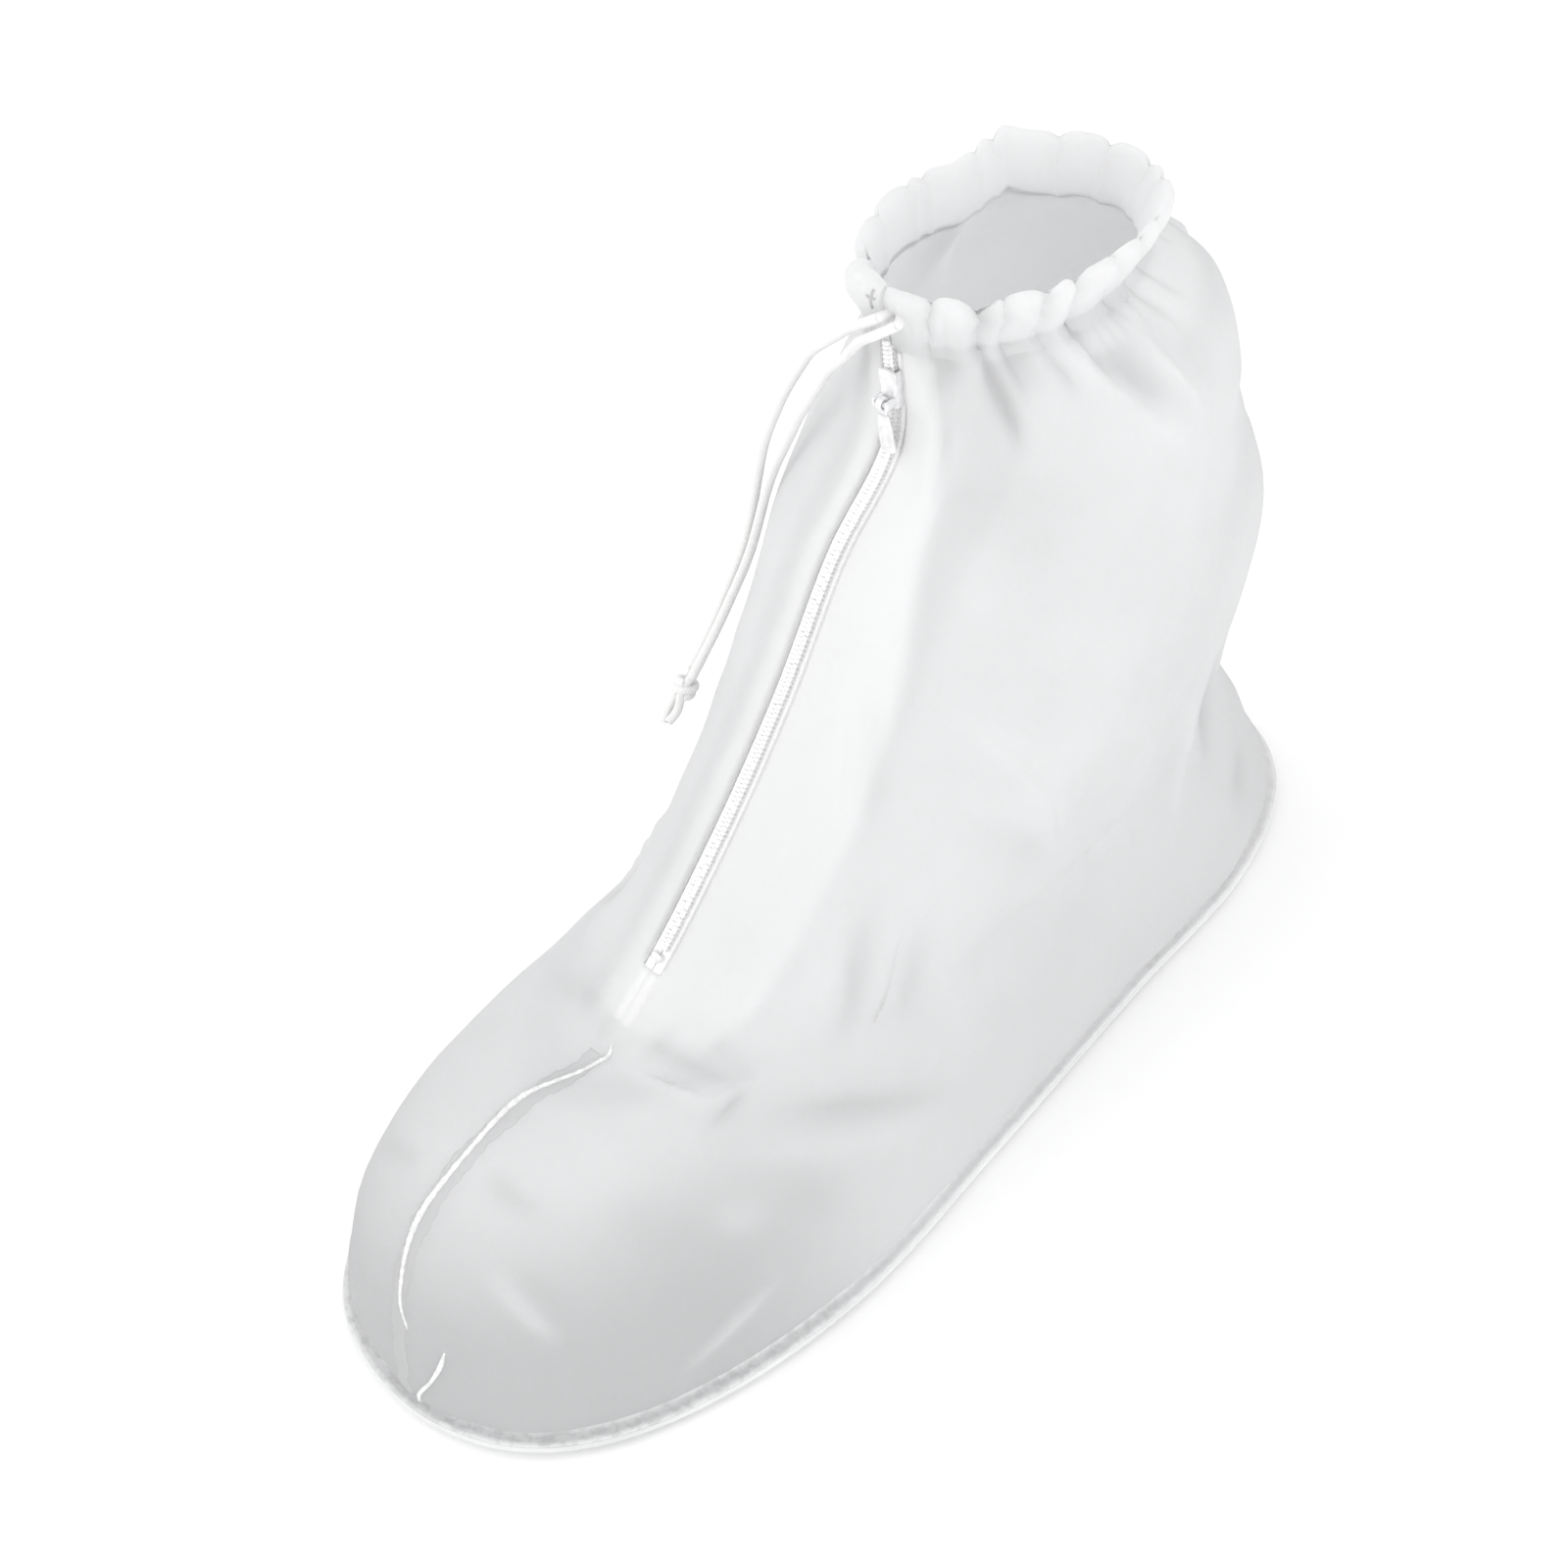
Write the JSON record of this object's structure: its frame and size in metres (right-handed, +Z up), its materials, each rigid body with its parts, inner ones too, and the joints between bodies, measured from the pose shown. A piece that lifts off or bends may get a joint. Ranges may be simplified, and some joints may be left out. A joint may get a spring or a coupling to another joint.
{
  "type": "waterproof shoe cover",
  "caption": "Frosted film overshoe for the left foot on a flat moulded sole, closed by a front zip and drawn in at the top by a cord in a gathered casing.",
  "frame": {"origin": "middle of the shoe's box, on the floor", "axes": "+Z up, +Y from the toe towards the heel, +X towards the outer side of the left foot"},
  "size_m": [0.1102, 0.3, 0.2526],
  "materials": {
    "film": "frosted translucent soft film",
    "sole_plastic": "moulded translucent soft plastic",
    "zip_tape": "woven white tape",
    "zip_coil": "moulded coil",
    "zip_metal": "plated zip metal",
    "cord": "braided white cord"
  },
  "bodies": {
    "cover": {"outsole": "sole_plastic", "upper": "film", "toe_seam": "film", "heel_seam": "film", "drawstring_casing": "film", "zip_tape_left": "zip_tape", "zip_tape_right": "zip_tape", "zip_chain": "zip_coil", "zip_bottom_stop": "zip_metal", "zip_gusset": "film", "zip_slider": "zip_metal", "drawcord_tail_outer": "cord", "drawcord_tail_inner": "cord", "drawcord_knot": "cord"},
    "pull": {"zip_pull_tab": "zip_metal"}
  },
  "joints": [
    {"name": "pull_swing", "type": "hinge", "parent": "cover", "child": "pull", "pos_m": [0.00652, 0.0047, 0.22441], "axis": [-0.9837, -0.0158, -0.1793], "range_deg": [0, 135]}
  ]
}
